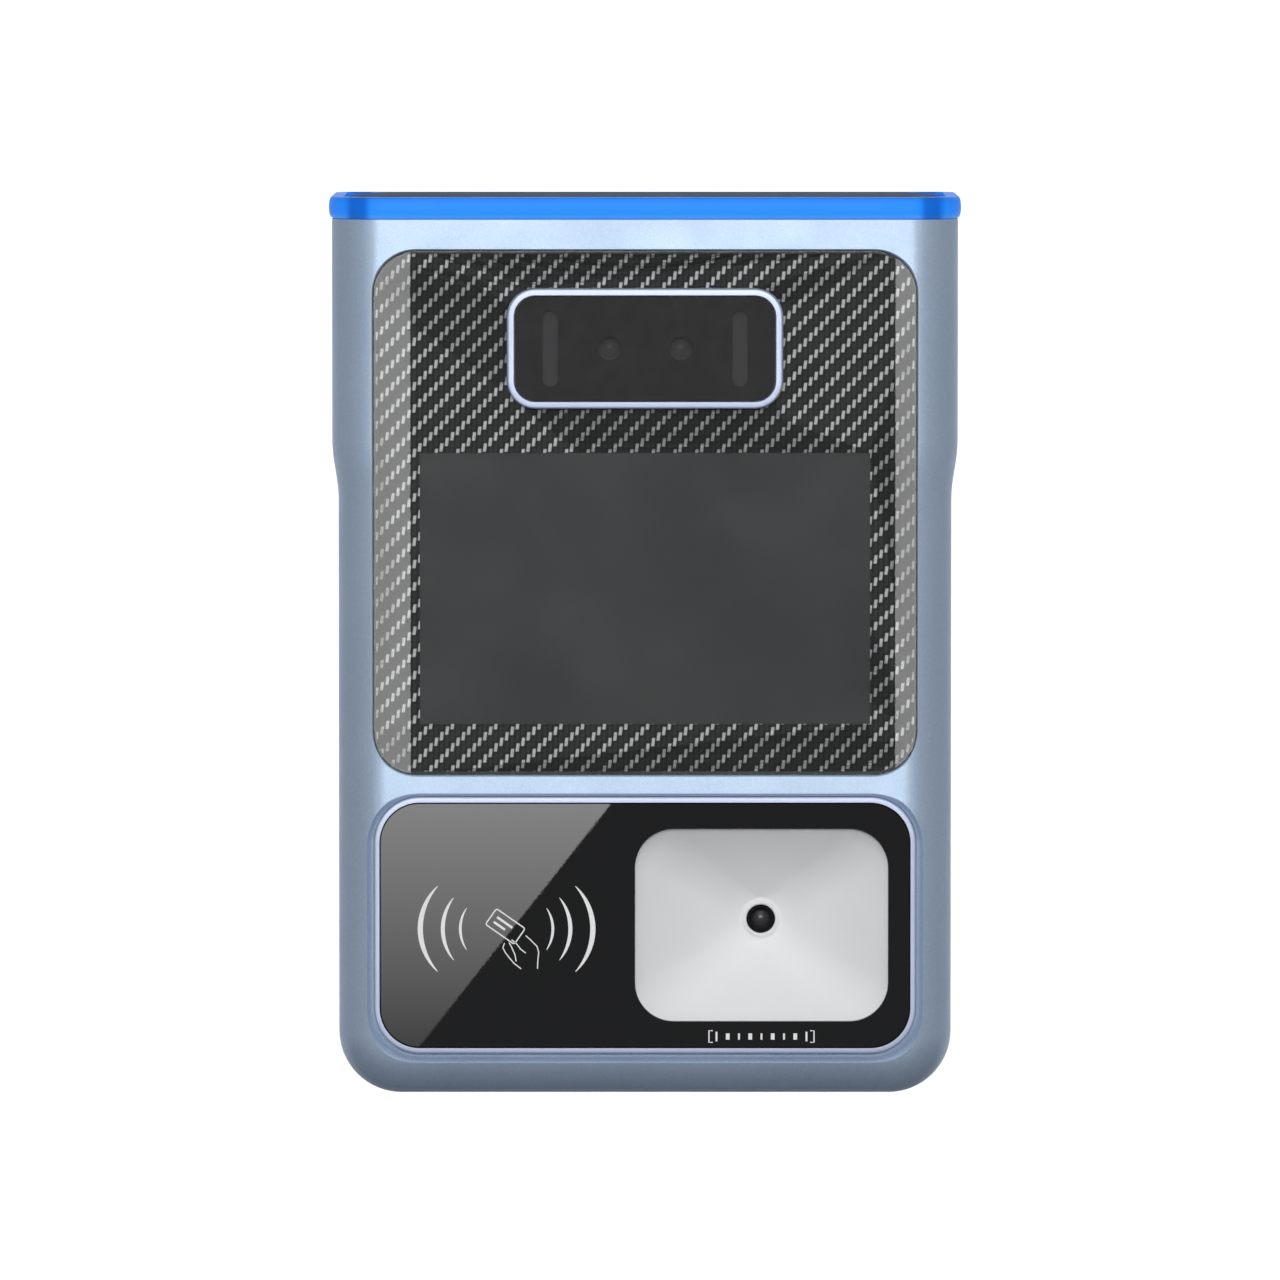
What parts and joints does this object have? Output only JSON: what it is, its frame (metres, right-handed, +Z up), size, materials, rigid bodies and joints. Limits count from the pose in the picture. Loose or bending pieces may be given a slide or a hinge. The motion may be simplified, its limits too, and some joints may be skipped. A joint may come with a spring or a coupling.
{
  "type": "transit ticket validator terminal",
  "caption": "Upright wall or pole ticket validator with a glass display panel, twin-lens camera, card reader, scan funnel, top light bar and rear service door.",
  "frame": {"origin": "centre of the four mounting inserts, on the flat rear face", "axes": "front faces -Y, +X to the right seen from the front, +Z up"},
  "size_m": [0.1518, 0.0632, 0.2163],
  "materials": {
    "housing": "satin light blue powder coat with a fine metallic flake",
    "trim": "bright satin anodised",
    "light_guide": "tinted translucent acrylic, polished",
    "cap": "satin slate",
    "cover_glass": "clear, polished",
    "print_film": "printed twill pattern, dark",
    "display": "switched-off display, satin",
    "smoked_window": "smoked, polished",
    "reader_glass": "black, polished",
    "funnel": "fine moulded texture, off-white",
    "lens": "coated lens, polished",
    "diffuser": "frosted",
    "black_plastic": "fine moulded texture",
    "circuit_board": "solder mask",
    "steel": "zinc plated",
    "sheet_metal": "tin plated sheet",
    "lock_metal": "polished chrome",
    "brass": "machined",
    "copper": "copper, bare",
    "heat_sink": "extruded, clear anodised",
    "seal_rubber": "silicone, matte",
    "battery_wrap": "shrink wrap",
    "plate": "brushed, blank",
    "green_plastic": "moulded",
    "red_plastic": "moulded"
  },
  "bodies": {
    "terminal": {"front_housing": "housing", "rear_housing": "housing", "housing_gasket": "seal_rubber", "housing_screws": "steel", "housing_inserts": "brass", "light_guide": "light_guide", "top_cap": "cap", "cap_screws": "steel", "top_led_board": "circuit_board", "cover_glass": "cover_glass", "print_film": "print_film", "glass_tape": "black_plastic", "lcd_cell": "display", "lcd_backlight": "sheet_metal", "lcd_bracket": "sheet_metal", "display_ribbon": "copper", "front_screws": "steel", "camera_trim": "trim", "camera_window": "smoked_window", "camera_board": "circuit_board", "camera_barrels": "black_plastic", "camera_lenses": "lens", "fill_light_bars": "diffuser", "reader_trim": "trim", "reader_glass": "reader_glass", "ferrite_sheet": "black_plastic", "antenna_board": "circuit_board", "antenna_coil": "copper", "scan_funnel": "funnel", "scan_engine": "black_plastic", "scan_barrel": "black_plastic", "scan_lens": "lens", "main_board": "circuit_board", "board_chips": "black_plastic", "heat_sink": "heat_sink", "board_standoffs": "brass", "board_screws": "steel", "battery_pack": "battery_wrap", "speaker": "black_plastic", "vent_plug": "black_plastic", "rear_socket": "steel", "socket_pins": "brass", "socket_nut": "steel", "mount_inserts": "brass", "rating_plate": "plate", "door_seal": "seal_rubber", "hinge_pin": "steel", "service_board": "circuit_board", "card_sockets": "sheet_metal", "usb_port": "sheet_metal", "button_switches": "black_plastic"},
    "door": {"service_door": "housing", "lock_body": "lock_metal", "lock_nut": "lock_metal"},
    "lock": {"lock_plug": "lock_metal", "lock_cam": "lock_metal", "cam_screw": "steel"},
    "power": {"power_button": "green_plastic"},
    "reset": {"reset_button": "red_plastic"}
  },
  "joints": [
    {"name": "door_hinge", "type": "hinge", "parent": "terminal", "child": "door", "pos_m": [0, -0.002, -0.0918], "axis": [-1, 0, 0], "range_deg": [0, 90]},
    {"name": "lock_turn", "type": "hinge", "parent": "door", "child": "lock", "pos_m": [0, 0, -0.067], "axis": [0, -1, 0], "range_deg": [0, 90]},
    {"name": "power_press", "type": "slide", "parent": "terminal", "child": "power", "axis": [0, -1, 0], "range_m": [0, 0.0008], "stiffness_N_per_m": 500, "springref_m": -0.001},
    {"name": "reset_press", "type": "slide", "parent": "terminal", "child": "reset", "axis": [0, -1, 0], "range_m": [0, 0.0008], "stiffness_N_per_m": 500, "springref_m": -0.001}
  ]
}
